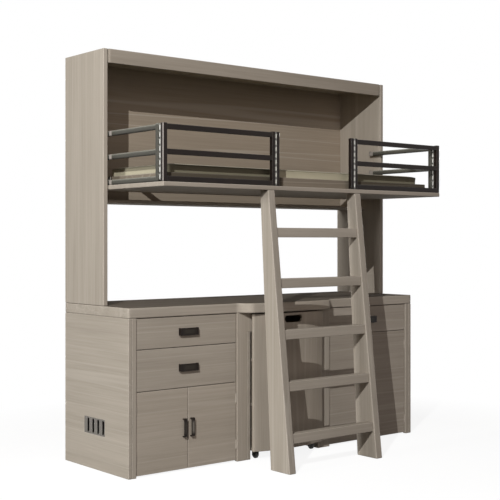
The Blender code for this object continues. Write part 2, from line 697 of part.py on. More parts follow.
def build_mattress(carrier, front, rear):
    """A crowned pad whose sides draw in between piped top and bottom edges."""
    half_x = MATTRESS_END
    half_y = (rear - front) / 2
    height = MATTRESS_HEIGHT
    edge = MATTRESS_EDGE
    # Inset from the outline, and height above the base, going up one side
    side_profile = [(edge, 0.0), (MATTRESS_PIPING, edge / 3), (0.0, edge * 2 / 3),
                    (MATTRESS_PIPING, edge), (MATTRESS_DRAW, height / 2), (MATTRESS_PIPING, height - edge),
                    (0.0, height - edge * 2 / 3), (MATTRESS_PIPING, height - edge / 3), (edge, height)]
    reach = half_y * MATTRESS_CROWN_SHARE
    for k in range(1, MATTRESS_CROWN_STEPS + 1):
        share = k / MATTRESS_CROWN_STEPS
        side_profile.append((edge + reach * share, height + MATTRESS_CROWN * math.sin(math.pi / 2 * share)))
    bm = bmesh.new()
    centre = Vector((0, DESK_FACE + (front + rear) / 2, PLATFORM_TOP + SEAM))
    rings = []
    for inset, z in side_profile:
        radius = max(MATTRESS_CORNER - inset, MATTRESS_EDGE / 2)
        points = rounded_ring(half_x - inset, half_y - inset, radius, MATTRESS_CORNER_STEPS)
        rings.append([bm.verts.new(centre + Vector((x, y, z))) for x, y in points])
    bm.faces.new(rings[0])
    bm.faces.new(rings[-1])
    count = len(rings[0])
    for lower, upper in zip(rings, rings[1:]):
        for k in range(count):
            n = (k + 1) % count
            bm.faces.new((lower[k], lower[n], upper[n], upper[k]))
    make_part("mattress", bm, "ticking", carrier, smooth=True)


def build_bed():
    carrier = joint_empty("bed_fold_line", 0.0, PIVOT_DEPTH, PIVOT_HEIGHT)
    add_blocks("bed_platform", "laminate",
               [((-PLATFORM_END, PLATFORM_END), (PLATFORM_FRONT, PLATFORM_REAR),
                 (PLATFORM_UNDERSIDE, PLATFORM_TOP))], carrier, PLATFORM_EDGE, 2)
    front = PLATFORM_FRONT + FRAME_FRONT_INSET
    rear = PLATFORM_REAR - FRAME_REAR_INSET
    foot = PLATFORM_TOP + SEAM
    well_front = front + FRAME_FRONT_BOARD
    well_rear = rear - FRAME_REAR_BOARD
    well_end = FRAME_END - FRAME_END_BOARD
    frame = add_blocks("mattress_frame", "laminate",
                       [((-FRAME_END, FRAME_END), (front, rear), (foot, foot + FRAME_HEIGHT))], carrier, SMALL_EDGE)
    well = bmesh.new()
    add_block(well, (-well_end, well_end), (well_front, well_rear), (foot - OVERRUN, foot + FRAME_HEIGHT + OVERRUN))
    cut_away(frame, well, "mattress_well", ahead_of_bevel=True)
    build_mattress(carrier, well_front + MATTRESS_CLEARANCE, well_rear - MATTRESS_CLEARANCE)
    for side, label in ((-1, "left"), (1, "right")):
        build_pivot_bracket(carrier, side, label)
        build_guard_rail(carrier, side, label)


def build_pivot_bracket(carrier, side, label):
    """An angle bracket on the platform, with a bored upright leg for the pin."""
    foot = PLATFORM_TOP + SEAM
    heel = PLATFORM_END - BRACKET_END_INSET
    leg = heel - BRACKET_THICKNESS
    tip = heel - BRACKET_FOOT
    head = PIVOT_HEIGHT + BRACKET_CROWN
    start = DESK_FACE + PIVOT_DEPTH - BRACKET_WIDTH / 2
    outline = [(heel, foot), (tip, foot), (tip, foot + BRACKET_THICKNESS), (leg, foot + BRACKET_THICKNESS),
               (leg, head), (heel, head)]
    bm = bmesh.new()
    add_prism(bm, [(side * x, z) for x, z in outline], "y", start, start + BRACKET_WIDTH)
    bracket = make_part(label + "_pivot_bracket", bm, "steel", carrier)
    bore = bmesh.new()
    radius = PIN_RADIUS + PIN_CLEARANCE
    add_turned(bore, [(side * (leg - OVERRUN), radius), (side * (heel + OVERRUN), radius)],
               Vector((0, DESK_FACE + PIVOT_DEPTH, PIVOT_HEIGHT)), ROUND_SIDES)
    cut_away(bracket, bore, label + "_bracket_bore")


def add_bead_chain(bm, x, depth, foot, head, radius):
    """An upright string of beads, thick and thin by turns, between two posts."""
    length = head - foot - 2 * BEAD_END
    pitch = length / BEAD_COUNT
    neck = radius * BEAD_NECK_SHARE
    profile = []
    for k in range(BEAD_COUNT):
        low = BEAD_END + pitch * k
        shoulder = pitch * BEAD_SHOULDER_SHARE
        profile += [(low, neck), (low + shoulder, radius), (low + pitch - shoulder, radius)]
    profile.append((BEAD_END + length, neck))
    add_turned(bm, profile, Vector((x, DESK_FACE + depth, foot)), BEAD_SIDES, axis="z")


def build_guard_rail(carrier, side, label):
    """One L-shaped guard: a front panel and a side panel, each welded from posts, bars and a bead chain."""
    outer = PLATFORM_END - RAIL_SETBACK
    inner = outer - POST_SIZE
    front = PLATFORM_FRONT + RAIL_SETBACK
    foot = PLATFORM_TOP + SEAM
    head = foot + RAIL_HEIGHT
    gate = RAIL_OPENING / 2
    slim_end = gate + SLIM_POST
    second_slim = slim_end + BEAD_GAP
    panel_start = second_slim + SLIM_POST
    corner_back = front + POST_SIZE
    rear_post = corner_back + CORNER_GAP
    rear_post_back = rear_post + POST_SIZE
    slack = (POST_SIZE - BAR_DEPTH) / 2
    levels = (foot + SEAM, foot + BAR_MIDDLE_LEVEL, head - BAR_TOP_DROP - BAR_HEIGHT)

    posts = [(mirrored(side, gate, slim_end), (front, corner_back), (foot, head)),
             (mirrored(side, second_slim, panel_start), (front, corner_back), (foot, head)),
             (mirrored(side, inner, outer), (front, corner_back), (foot, head))]
    panel = add_blocks(label + "_front_rail", "bronze", posts, carrier, POST_EDGE, 2)
    bars = bmesh.new()
    for low in levels:
        add_block(bars, mirrored(side, panel_start - POST_EDGE * 2, inner + POST_EDGE * 2),
                  (front + slack, front + slack + BAR_DEPTH), (low, low + BAR_HEIGHT))
    weld_on(panel, bars, label + "_front_bars", BAR_EDGE)
    chain = bmesh.new()
    add_bead_chain(chain, side * (slim_end + BEAD_GAP / 2), front + POST_SIZE / 2, foot, head,
                   BEAD_GAP / 2 + BEAD_BITE)
    weld_on(panel, chain, label + "_front_chain")

    side_x = mirrored(side, inner, outer)
    side_panel = add_blocks(label + "_side_rail", "bronze", [(side_x, (rear_post, rear_post_back), (foot, head))],
                            carrier, POST_EDGE, 2)
    bar_x = (side_x[0] + slack, side_x[1] - slack)
    long_end = PIVOT_DEPTH + RAIL_TAIL_PAST_PIVOT
    short_end = PIVOT_DEPTH - LOW_BAR_SHORT_OF_PIVOT
    bars = bmesh.new()
    plates = bmesh.new()
    for low, rear in zip(levels, (short_end, long_end, long_end)):
        add_block(bars, bar_x, (rear_post_back - POST_EDGE * 2, rear), (low, low + BAR_HEIGHT))
        plate_foot = max(foot, low + (BAR_HEIGHT - END_PLATE_HEIGHT) / 2)
        add_block(plates, side_x, (rear - END_PLATE / 2, rear + END_PLATE / 2),
                  (plate_foot, plate_foot + END_PLATE_HEIGHT))
    weld_on(side_panel, bars, label + "_side_bars", BAR_EDGE)
    weld_on(side_panel, plates, label + "_end_plates")
    chain = bmesh.new()
    radius = (CORNER_GAP - SEAM + BEAD_BITE) / 2
    add_bead_chain(chain, middle(side_x), corner_back + SEAM + radius, foot, head, radius)
    weld_on(side_panel, chain, label + "_side_chain")


def build_ladder():
    carrier = joint_empty("ladder_slide", 0.0, -LADDER_REACH, 0.0)
    head = PLATFORM_UNDERSIDE - SEAM
    foot_front = DESK_FACE - LADDER_REACH
    head_front = DESK_FACE + PLATFORM_FRONT
    half = LADDER_WIDTH / 2
    outline = [(foot_front, 0.0), (foot_front + STRINGER_FOOT, 0.0),
               (head_front + STRINGER_HEAD, head), (head_front, head)]
    for side, label in ((-1, "left"), (1, "right")):
        bm = bmesh.new()
        inner, outer = mirrored(side, half - STRINGER_WIDTH, half)
        add_prism(bm, outline, "x", inner - LADDER_SHIFT, outer - LADDER_SHIFT)
        make_part("ladder_stringer_" + label, bm, "laminate", carrier, STRINGER_EDGE, 2)
    slope = (head_front - foot_front) / head
    span = half - STRINGER_WIDTH - SEAM
    for k in range(RUNG_COUNT):
        top = RUNG_LOWEST_TOP + RUNG_SPACING * k
        front = -LADDER_REACH + slope * top + RUNG_SETBACK
        add_blocks(f"ladder_rung_{k + 1}", "laminate",
                   [((-span - LADDER_SHIFT, span - LADDER_SHIFT), (front, front + RUNG_DEPTH),
                     (top - RUNG_HEIGHT, top))],
                   carrier, BOARD_EDGE, 2)


def pedestal_arc(half, offset):
    """Points of the pedestal's bowed front over a half width, left to right, set back by an offset."""
    radius = (PEDESTAL_FRONT_HALF ** 2 + PEDESTAL_BOW ** 2) / (2 * PEDESTAL_BOW)
    centre = -PEDESTAL_FRONT_LEAD - PEDESTAL_BOW + radius
    points = []
    for k in range(PEDESTAL_BOW_POINTS + 1):
        x = -half + 2 * half * k / PEDESTAL_BOW_POINTS
        points.append((x, DESK_FACE + centre - math.sqrt(radius ** 2 - x ** 2) + offset))
    return points


def build_pedestal():
    carrier = joint_empty("pedestal_slide", 0.0, -PEDESTAL_FRONT_LEAD, PEDESTAL_BOTTOM)
    bm = bmesh.new()
    face = pedestal_arc(PEDESTAL_FRONT_HALF, 0.0)
    rear = pedestal_arc(PEDESTAL_FRONT_HALF, PEDESTAL_PANEL)
    add_prism(bm, face + rear[::-1], "z", PEDESTAL_BOTTOM, PEDESTAL_TOP)
    front = make_part("pedestal_front", bm, "laminate", carrier, PEDESTAL_EDGE, 2)
    radius = HAND_HOLE_HEIGHT / 2
    outline = []
    for side in (1, -1):
        for k in range(HAND_HOLE_STEPS + 1):
            turn = math.pi * (k / HAND_HOLE_STEPS - 1 / 2)
            outline.append((side * (HAND_HOLE_WIDTH / 2 - radius + radius * math.cos(turn)),
                            HAND_HOLE_LEVEL + side * radius * math.sin(turn)))
    hole = bmesh.new()
    lead = PEDESTAL_FRONT_LEAD + PEDESTAL_BOW
    add_prism(hole, outline, "y", DESK_FACE - lead - OVERRUN, DESK_FACE - PEDESTAL_FRONT_LEAD + OVERRUN)
    cut_away(front, hole, "hand_hole")

    half = PEDESTAL_HALF
    back_face = DESK_FACE + PEDESTAL_REAR - PEDESTAL_PANEL
    back_rear = DESK_FACE + PEDESTAL_REAR
    base_top = PEDESTAL_BOTTOM + PEDESTAL_BOARD
    board_front = DESK_FACE - lead - OVERRUN
    spaces = PEDESTAL_SHELF_COUNT + 1
    travel = PEDESTAL_TOP - PEDESTAL_BOARD - PEDESTAL_BOTTOM
    outline = [(back_rear, base_top + SEAM), (back_rear, PEDESTAL_TOP)]
    for k in range(spaces, 0, -1):
        level = PEDESTAL_BOTTOM + travel * k / spaces
        outline += [(back_face, level + PEDESTAL_BOARD), (board_front, level + PEDESTAL_BOARD),
                    (board_front, level), (back_face, level)]
    outline.append((back_face, base_top + SEAM))
    outline.remove((back_face, PEDESTAL_TOP))
    bm = bmesh.new()
    add_prism(bm, outline, "x", -half, half)
    inside = make_part("pedestal_inside", bm, "laminate_inside", carrier)
    room = bmesh.new()
    arc = pedestal_arc(half, PEDESTAL_PANEL + 2 * SEAM)
    reach = half + OVERRUN
    near = board_front - OVERRUN
    trim = [(reach, arc[-1][1]), (reach, near), (-reach, near), (-reach, arc[0][1])]
    add_prism(room, arc + trim, "z", PEDESTAL_BOTTOM, PEDESTAL_TOP + OVERRUN)
    cut_away(inside, room, "bowed_shelf_fronts")

    base = bmesh.new()
    add_prism(base, arc + [(half, back_rear), (-half, back_rear)], "z", PEDESTAL_BOTTOM, base_top)
    base_board = make_part("pedestal_base", base, "laminate_inside", carrier)
    build_casters(carrier, base_board)


def build_casters(carrier, base_board):
    """Four fixed casters: forks and axles on the base board, and shouldered wheels that turn on them."""
    forks = bmesh.new()
    axles = bmesh.new()
    half_x = PEDESTAL_HALF - CASTER_SIDE_INSET
    front = CASTER_FRONT_DEPTH
    rear = PEDESTAL_REAR - CASTER_REAR_INSET
    half_wheel = WHEEL_WIDTH / 2
    cheek = half_wheel + WHEEL_PLAY
    head = PEDESTAL_BOTTOM + FORK_ROOT
    crotch = 2 * WHEEL_RADIUS + FORK_HEADROOM
    foot = WHEEL_RADIUS - 2 * AXLE_RADIUS
    outline = [(-cheek - FORK_THICKNESS, foot), (-cheek, foot), (-cheek, crotch), (cheek, crotch), (cheek, foot),
               (cheek + FORK_THICKNESS, foot), (cheek + FORK_THICKNESS, head), (-cheek - FORK_THICKNESS, head)]
    reach = cheek + FORK_THICKNESS / 2
    bore = AXLE_RADIUS + AXLE_CLEARANCE
    shoulder = WHEEL_RADIUS - WHEEL_SHOULDER
    tyre = [(-half_wheel, bore), (-half_wheel, shoulder), (WHEEL_SHOULDER - half_wheel, WHEEL_RADIUS),
            (half_wheel - WHEEL_SHOULDER, WHEEL_RADIUS), (half_wheel, shoulder), (half_wheel, bore)]
    for side, depth, label in ((-1, front, "front_left"), (1, front, "front_right"),
                               (-1, rear, "rear_left"), (1, rear, "rear_right")):
        x = side * half_x
        y = DESK_FACE + depth
        add_prism(forks, [(x + a, z) for a, z in outline], "y", y - FORK_LENGTH / 2, y + FORK_LENGTH / 2)
        centre = Vector((x, y, WHEEL_RADIUS))
        add_turned(axles, [(-reach, AXLE_RADIUS), (reach, AXLE_RADIUS)], centre, ROUND_SIDES // 2)
        wheel = bmesh.new()
        add_turned(wheel, tyre, centre, WHEEL_SIDES, bored=True)
        make_part("caster_wheel_" + label, wheel, "black_plastic",
                  joint_empty("caster_spin_" + label, x, depth, WHEEL_RADIUS), smooth=True)
    weld_on(base_board, forks, "caster_forks")
    weld_on(base_board, axles, "caster_axles")


def build_wall_bed():
    clear_scene()
    build_desk_top()
    build_tower()
    build_pivot_pins()
    build_storage()
    build_bed()
    build_ladder()
    build_pedestal()


build_wall_bed()
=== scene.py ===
import math
import bpy
import numpy as np
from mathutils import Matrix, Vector
from mathutils.bvhtree import BVHTree


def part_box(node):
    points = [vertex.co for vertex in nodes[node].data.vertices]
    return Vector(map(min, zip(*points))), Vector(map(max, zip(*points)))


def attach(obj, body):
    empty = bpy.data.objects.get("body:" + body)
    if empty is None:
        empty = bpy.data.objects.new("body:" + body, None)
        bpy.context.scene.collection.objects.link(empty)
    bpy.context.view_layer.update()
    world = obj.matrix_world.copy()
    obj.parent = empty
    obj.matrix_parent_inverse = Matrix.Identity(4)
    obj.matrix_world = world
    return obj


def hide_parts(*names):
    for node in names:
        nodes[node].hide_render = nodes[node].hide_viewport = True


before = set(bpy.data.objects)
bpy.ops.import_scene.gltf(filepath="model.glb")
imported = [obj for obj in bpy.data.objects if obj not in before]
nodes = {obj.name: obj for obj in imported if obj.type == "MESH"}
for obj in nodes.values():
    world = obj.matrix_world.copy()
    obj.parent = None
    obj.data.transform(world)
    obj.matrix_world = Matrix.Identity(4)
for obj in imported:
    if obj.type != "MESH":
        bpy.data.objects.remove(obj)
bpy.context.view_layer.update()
print("frame: %d nodes" % len(nodes))

floatSocket = "NodeSocketFloat"
vectorSocket = "NodeSocketVector"

# where the middle of a noise begins and ends
spread = (0.3, 0.7)


def feed(tree, made, sockets):
    for label, value in sockets.items():
        if isinstance(value, bpy.types.NodeSocket):
            tree.links.new(value, made.inputs[label])
        else:
            made.inputs[label].default_value = value


def addNode(tree, kind, sockets=None, **settings):
    made = tree.nodes.new(kind)
    for label, value in settings.items():
        setattr(made, label, value)
    feed(tree, made, sockets or {})
    return made


def scalar(tree, kind, *values):
    made = addNode(tree, "ShaderNodeMath", dict(enumerate(values)), operation=kind)
    return made.outputs[0]


def vectorial(tree, kind, *values):
    return addNode(tree, "ShaderNodeVectorMath", dict(enumerate(values)), operation=kind).outputs


def axes(tree, place):
    return addNode(tree, "ShaderNodeSeparateXYZ", {0: place}).outputs


def trueNormal(tree):
    return addNode(tree, "ShaderNodeNewGeometry").outputs["True Normal"]


def noise(tree, place, detail, roughness=0.5, scale=1.0):
    wanted = {"Vector": place, "Scale": scale, "Detail": detail, "Roughness": roughness}
    return addNode(tree, "ShaderNodeTexNoise", wanted).outputs[0]


def ranged(tree, value, low, high, lowOut=0.0, highOut=1.0):
    wanted = {0: value, 1: low, 2: high, 3: lowOut, 4: highOut}
    return addNode(tree, "ShaderNodeMapRange", wanted).outputs[0]


def opaque(colour):
    return colour if isinstance(colour, bpy.types.NodeSocket) else (*colour, 1.0)


def mixed(tree, share, first, second, blend="MIX"):
    made = addNode(tree, "ShaderNodeMix", {0: share, 6: opaque(first), 7: opaque(second)},
                   data_type="RGBA", blend_type=blend)
    return made.outputs[2]


def tinted(tree, mask, colour, tint):
    return mixed(tree, mask, colour, mixed(tree, 1.0, colour, tint, "MULTIPLY"))


def ramp(tree, value, stops):
    made = addNode(tree, "ShaderNodeValToRGB", {0: value})
    elements = made.color_ramp.elements
    while len(elements) < len(stops):
        elements.new(0.5)
    for element, (spot, colour) in zip(elements, stops):
        element.position = spot
        element.color = (*colour, 1.0)
    return made.outputs[0]


def newGroup(name, takes, gives):
    tree = bpy.data.node_groups.new(name, "ShaderNodeTree")
    for label, kind in takes:
        tree.interface.new_socket(label, in_out="INPUT", socket_type=kind)
    for label, kind in gives:
        tree.interface.new_socket(label, in_out="OUTPUT", socket_type=kind)
    return tree, addNode(tree, "NodeGroupInput").outputs, addNode(tree, "NodeGroupOutput")


# streaky grain along z: the stretch, detail and roughness of each noise, and how they join
grainLook = {
    "figure": ((15, 15, 0.9), 4, 0.55), "streak": ((120, 120, 2.2), 3, 0.6),
    "fine": ((850, 850, 9), 2, 0.5), "band": ((13, 13, 0.15), 0, 0.5),
    "shares": (0.42, 0.36, 0.22), "pore": (0.60, 0.72), "vein": (0.022, 0.006), "relief": 0.4}


def grainStreaks():
    tree, given, result = newGroup(
        "grainStreaks", [("Position", vectorSocket)],
        [("Tone", floatSocket), ("Pore", floatSocket), ("Vein", floatSocket), ("Height", floatSocket)])

    def layer(key):
        stretch, detail, roughness = grainLook[key]
        place = vectorial(tree, "MULTIPLY", given["Position"], stretch)[0]
        return noise(tree, place, detail, roughness)

    figure, streak, fine, band = [layer(key) for key in ("figure", "streak", "fine", "band")]
    tone = scalar(tree, "MULTIPLY", figure, grainLook["shares"][0])
    tone = scalar(tree, "MULTIPLY_ADD", streak, grainLook["shares"][1], tone)
    tone = scalar(tree, "MULTIPLY_ADD", fine, grainLook["shares"][2], tone)
    pore = ranged(tree, fine, *grainLook["pore"])
    contour = scalar(tree, "ABSOLUTE", scalar(tree, "SUBTRACT", band, 0.5))
    vein = ranged(tree, contour, *grainLook["vein"])
    raised = scalar(tree, "MULTIPLY_ADD", streak, grainLook["relief"], fine)
    height = scalar(tree, "SUBTRACT", raised, pore)
    feed(tree, result, {"Tone": tone, "Pore": pore, "Vein": vein, "Height": height})
    return tree


# rounded normals at edges, and a patchy mask along them for pale edges: partly wear, partly a painted
# highlight where rounded edges catch the light
edgeLook = {"samples": 4, "turn": (0.99, 0.80), "patch": (3, 0.6, 55.0), "patchy": (0.35, 0.60, 0.45, 1.0)}


def roundedEdges():
    tree, given, result = newGroup(
        "roundedEdges", [("Radius", floatSocket), ("Position", vectorSocket)],
        [("Normal", vectorSocket), ("WearAndHighlight", floatSocket)])
    rounded = addNode(tree, "ShaderNodeBevel", {"Radius": given["Radius"]},
                      samples=edgeLook["samples"]).outputs[0]
    facing = vectorial(tree, "DOT_PRODUCT", rounded, trueNormal(tree))["Value"]
    turned = ranged(tree, facing, *edgeLook["turn"])
    patchy = ranged(tree, noise(tree, given["Position"], *edgeLook["patch"]), *edgeLook["patchy"])
    feed(tree, result, {"Normal": rounded, "WearAndHighlight": scalar(tree, "MULTIPLY", turned, patchy)})
    return tree


# normals of upright faces blended widely round the bows
bowLook = {"samples": 6, "upright": 0.5}


def roundedBows():
    tree, given, result = newGroup(
        "roundedBows", [("Radius", floatSocket), ("Normal", vectorSocket)], [("Normal", vectorSocket)])
    wide = addNode(tree, "ShaderNodeBevel", {"Radius": given["Radius"]},
                   samples=bowLook["samples"]).outputs[0]
    level = vectorial(tree, "NORMALIZE", vectorial(tree, "MULTIPLY", wide, (1, 1, 0))[0])[0]
    lift = addNode(tree, "ShaderNodeCombineXYZ", {2: axes(tree, given["Normal"])[2]}).outputs[0]
    both = vectorial(tree, "ADD", level, lift)[0]
    tall = scalar(tree, "ABSOLUTE", axes(tree, trueNormal(tree))[2])
    upright = scalar(tree, "LESS_THAN", tall, bowLook["upright"])
    away = vectorial(tree, "SUBTRACT", both, given["Normal"])[0]
    turned = vectorial(tree, "MULTIPLY_ADD", away, upright, given["Normal"])[0]
    feed(tree, result, {"Normal": vectorial(tree, "NORMALIZE", turned)[0]})
    return tree


# plain weave of raised threads with slubs
weaveLook = {"thread": 0.0021, "slub": (3, 0.6, 90.0), "relief": (-2.0, 2.0)}


def clothWeave():
    tree, given, result = newGroup(
        "clothWeave", [("Position", vectorSocket)],
        [("Height", floatSocket), ("Slub", floatSocket)])
    turns = 2 * math.pi / weaveLook["thread"]
    height = None
    for axis in axes(tree, given["Position"]):
        thread = scalar(tree, "SINE", scalar(tree, "MULTIPLY", axis, turns))
        height = thread if height is None else scalar(tree, "ADD", height, thread)
    slub = noise(tree, given["Position"], *weaveLook["slub"])
    feed(tree, result, {"Height": ranged(tree, height, *weaveLook["relief"]), "Slub": slub})
    return tree


# one at the middle of a plate in the x-z plane, none at its rim
plateLook = {"fade": (0.78, 0.40), "share": 0.85}


def plateMiddle():
    tree, given, result = newGroup(
        "plateMiddle",
        [("Position", vectorSocket), ("Centre", vectorSocket), ("Half", vectorSocket)],
        [("Middle", floatSocket)])
    away = vectorial(tree, "SUBTRACT", given["Position"], given["Centre"])[0]
    share = axes(tree, vectorial(tree, "DIVIDE", away, given["Half"])[0])
    across = scalar(tree, "ABSOLUTE", share[0])
    tall = scalar(tree, "ABSOLUTE", share[2])
    furthest = scalar(tree, "MAXIMUM", across, tall)
    feed(tree, result, {"Middle": ranged(tree, furthest, *plateLook["fade"])})
    return tree


# one at the thick middle of each bead of an upright string, where a painted glint goes
beadLook = {
    "pitch": 0.03369, "foot": 0.0063, "core": (0.38, 0.26),
    "glint": ((0.60, 0.59, 0.54), (0.76, 0.75, 0.70)), "string": (0.24, 0.235, 0.22)}


def beadCores():
    tree, given, result = newGroup("beadCores", [("Height", floatSocket)], [("Core", floatSocket)])
    turns = scalar(tree, "DIVIDE", given["Height"], beadLook["pitch"])
    offset = scalar(tree, "SUBTRACT", scalar(tree, "FRACT", turns), 0.5)
    offset = scalar(tree, "ABSOLUTE", offset)
    feed(tree, result, {"Core": ranged(tree, offset, *beadLook["core"])})
    return tree


# one where the place lies between two corners
def insideBox():
    tree, given, result = newGroup(
        "insideBox", [("Position", vectorSocket), ("Low", vectorSocket), ("High", vectorSocket)],
        [("Inside", floatSocket)])
    inside = None
    limits = zip(*[axes(tree, given[label]) for label in ("Position", "Low", "High")])
    for place, low, high in limits:
        above = scalar(tree, "GREATER_THAN", place, low)
        below = scalar(tree, "LESS_THAN", place, high)
        both = scalar(tree, "MULTIPLY", above, below)
        inside = both if inside is None else scalar(tree, "MULTIPLY", inside, both)
    feed(tree, result, {"Inside": inside})
    return tree


groups = {
    "grain": grainStreaks(), "edges": roundedEdges(), "bows": roundedBows(), "weave": clothWeave(),
    "box": insideBox(), "middle": plateMiddle(), "beads": beadCores()}


def groupNode(tree, kind, sockets):
    return addNode(tree, "ShaderNodeGroup", sockets, node_tree=groups[kind]).outputs


# each material's place is shifted by its seed, and turned to the grain's way
grainTurns = {"x": (0, 90, 0), "y": (90, 0, 0), "z": (0, 0, 0)}
seedSteps = ((0.37, 3.1), (0.73, 2.7), (1.13, 5.3))


def startMaterial(name, seed, turn=(0, 0, 0)):
    material = bpy.data.materials.new(name)
    material.use_nodes = True
    tree = material.node_tree
    shader = tree.nodes["Principled BSDF"]
    coordinates = addNode(tree, "ShaderNodeTexCoord").outputs["Object"]
    shift = tuple(step * seed % wrap for step, wrap in seedSteps)
    angles = tuple(math.radians(angle) for angle in turn)
    place = addNode(tree, "ShaderNodeMapping",
                    {"Vector": coordinates, "Location": shift, "Rotation": angles}).outputs[0]
    return material, tree, shader, coordinates, place


def bumped(tree, height, strength, depth, normal):
    wanted = {"Height": height, "Strength": strength, "Distance": depth, "Normal": normal}
    return addNode(tree, "ShaderNodeBump", wanted).outputs[0]


def within(tree, place, boxes):
    mask = None
    for low, high in boxes:
        inside = groupNode(tree, "box", {"Position": place, "Low": low, "High": high})["Inside"]
        mask = inside if mask is None else scalar(tree, "MAXIMUM", mask, inside)
    return mask


# wood-grained laminate, with a wider edge, bow or darker top where a board has one; the darker top is partly
# a worktop tone, partly painted shade
laminateLook = {
    "tones": ((0.36, (0.382, 0.336, 0.277)), (0.50, (0.435, 0.385, 0.320)), (0.64, (0.486, 0.433, 0.364))),
    "pore": (0.20, 0.17, 0.13), "poreShare": 0.20,
    "cloud": (0.30, 0.265, 0.215), "cloudNoise": (2, 0.5, 2.2), "cloudShare": 0.10,
    "vein": (0.58, 0.53, 0.455), "veinShare": 0.30,
    "wornAndLit": (0.86, 0.80, 0.71), "wearAndHighlightShare": 0.75, "edge": 0.0035,
    "rough": (0.35, 0.65, 0.78, 0.66), "specular": 0.10, "bump": 0.08, "depth": 0.0003}
edgeOf = {"ladder_stringer_left": 0.006, "ladder_stringer_right": 0.006}
bowOf = {"desk_top": 0.028, "pedestal_front": 0.020}
topToneAndShadeOf = {"desk_top": (0.34, 0.32, 0.30)}
topTurn = (0.7, 0.9)

# the casters' forks under the pedestal's base board
forkLook = {"board": 0.0165, "colour": (0.035, 0.033, 0.030), "rough": 0.35, "metallic": 0.6}

# painted shadow of the guard rails: duller where the rails stand before the mattress and its frame
railShadowPaint = {
    "tone": (0.40, 0.40, 0.38),
    "boxes": [((-0.94, -0.32, 1.46), (-0.20, -0.248, 1.60)), ((0.34, -0.32, 1.46), (0.94, -0.248, 1.60))]}


def laminate(piece, along, seed, shade):
    material, tree, shader, coordinates, place = startMaterial(
        "laminate_" + piece, seed, grainTurns[along])
    look = laminateLook
    grain = groupNode(tree, "grain", {"Position": place})
    edges = groupNode(tree, "edges", {"Position": place, "Radius": edgeOf.get(piece, look["edge"])})
    # the tint lightens or darkens the whole board: partly its own tone, partly painted light and shade
    stops = [(spot, tuple(tint * part for tint, part in zip(shade, tone))) for spot, tone in look["tones"]]
    colour = ramp(tree, grain["Tone"], stops)
    pores = scalar(tree, "MULTIPLY", grain["Pore"], look["poreShare"])
    colour = mixed(tree, pores, colour, look["pore"])
    cloud = ranged(tree, noise(tree, place, *look["cloudNoise"]), *spread, 0.0, look["cloudShare"])
    colour = mixed(tree, cloud, colour, look["cloud"])
    veins = scalar(tree, "MULTIPLY", grain["Vein"], look["veinShare"])
    colour = mixed(tree, veins, colour, look["vein"])
    # pale edges: partly wear, partly a painted highlight along the rounded edges
    wearAndHighlight = scalar(tree, "MULTIPLY", edges["WearAndHighlight"], look["wearAndHighlightShare"])
    colour = mixed(tree, wearAndHighlight, colour, look["wornAndLit"])
    rough = ranged(tree, grain["Tone"], *look["rough"])
    if piece == "pedestal_base":
        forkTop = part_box(piece)[1].z - forkLook["board"]
        fork = scalar(tree, "LESS_THAN", axes(tree, coordinates)[2], forkTop)
        colour = mixed(tree, fork, colour, forkLook["colour"])
        rough = ranged(tree, fork, 0.0, 1.0, rough, forkLook["rough"])
        feed(tree, shader, {"Metallic": scalar(tree, "MULTIPLY", fork, forkLook["metallic"])})
    if piece == "mattress_frame":
        # painted shadow of the guard rails on the frame's front
        colour = tinted(tree, within(tree, coordinates, railShadowPaint["boxes"]), colour, railShadowPaint["tone"])
    if piece in topToneAndShadeOf:
        # darker upward faces: partly a worktop tone, partly painted shade
        upward = ranged(tree, axes(tree, trueNormal(tree))[2], *topTurn)
        colour = tinted(tree, upward, colour, topToneAndShadeOf[piece])
        rough = scalar(tree, "MAXIMUM", rough, upward)
    rounded = edges["Normal"]
    if piece in bowOf:
        rounded = groupNode(tree, "bows", {"Radius": bowOf[piece], "Normal": rounded})["Normal"]
    normal = bumped(tree, grain["Height"], look["bump"], look["depth"], rounded)
    feed(tree, shader, {"Base Color": colour, "Roughness": rough, "Normal": normal,
                        "Specular IOR Level": look["specular"]})
    return material


# painted metal, steel, plastic: noises and depth shared by all
metalLook = {"cloud": (4, 0.6, 9.0), "speck": (2, 0.5, 1400.0), "depth": 0.0001}


